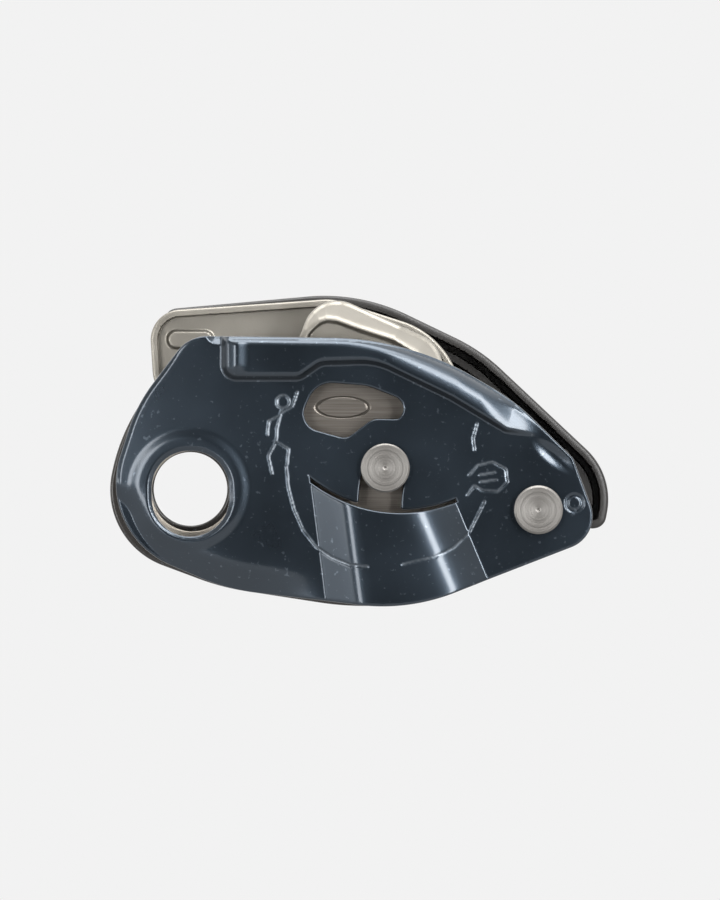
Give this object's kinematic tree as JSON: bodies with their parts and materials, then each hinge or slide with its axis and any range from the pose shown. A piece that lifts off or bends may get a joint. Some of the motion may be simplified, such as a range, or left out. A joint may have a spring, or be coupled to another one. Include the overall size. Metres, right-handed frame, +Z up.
{
  "type": "assisted-braking belay device",
  "caption": "Single-rope assisted-braking belay device: hinged side plate, sprung cam, friction plate and a release lever with a folding handle.",
  "frame": {"origin": "centre of the fixed side plate's attachment hole, halfway through its sheet", "axes": "+X from the attachment hole to the nose, +Z up across the plates, -Y towards the moving side plate"},
  "size_m": [0.1154, 0.0419, 0.0719],
  "materials": {
    "plate_blue": "satin anodised",
    "plate_dark": "satin anodised",
    "steel_brushed": "brushed",
    "steel_turned": "turned",
    "bronze": "satin",
    "spring_steel": "satin",
    "grip_nylon": "fine grain",
    "grip_rubber": "matt",
    "slide_ring": "matt",
    "steel_blasted": "bead blasted"
  },
  "bodies": {
    "fixed_side": {"fixed_side_plate": "plate_dark", "friction_plate": "steel_brushed", "friction_shoe": "steel_brushed", "friction_plate_rivets": "steel_turned", "cam_axle": "steel_turned", "axle_rear_washer": "steel_turned", "axle_retaining_ring": "spring_steel", "cam_stop_pin": "steel_turned", "plate_pivot_pin": "steel_turned", "pivot_spacer": "steel_turned", "pivot_rear_washer": "steel_turned", "cam_spring": "spring_steel", "lever_spring": "spring_steel"},
    "moving_side": {"moving_side_plate": "plate_blue", "pivot_slide_washer": "slide_ring"},
    "cam_group": {"cam": "steel_brushed", "cam_thumb_rest": "steel_blasted", "cam_bush": "bronze", "cam_drive_pin": "steel_turned"},
    "lever_group": {"release_lever": "steel_blasted", "lever_bush": "bronze", "fold_pin": "steel_turned", "fold_washer": "steel_turned", "detent_spring": "spring_steel", "detent_ball": "steel_turned", "detent_rivet": "steel_turned"},
    "grip_group": {"handle_grip": "grip_nylon", "grip_bush": "bronze", "grip_pad": "grip_rubber", "grip_pad_pegs": "grip_rubber"}
  },
  "joints": [
    {"name": "side_plate_hinge", "type": "hinge", "parent": "fixed_side", "child": "moving_side", "pos_m": [0.0801, 0, -0.0047], "axis": [0, 1, 0], "range_deg": [0, 95]},
    {"name": "cam_hinge", "type": "hinge", "parent": "fixed_side", "child": "cam_group", "pos_m": [0.045, 0, 0.0049], "axis": [0, 1, 0], "range_deg": [-18, 22], "stiffness_Nm_per_rad": 0.05, "deforming": ["cam_spring"]},
    {"name": "lever_hinge", "type": "hinge", "parent": "fixed_side", "child": "lever_group", "pos_m": [0.045, 0, 0.0049], "axis": [0, 1, 0], "range_deg": [-18, 22], "stiffness_Nm_per_rad": 0.05, "deforming": ["lever_spring"]},
    {"name": "grip_fold", "type": "hinge", "parent": "lever_group", "child": "grip_group", "pos_m": [0.006, 0, 0.0345], "axis": [0, 1, 0], "range_deg": [-170, 0]}
  ],
  "couplings": [
    {"joint": "lever_hinge", "follows": "cam_hinge", "ratio": 1}
  ]
}
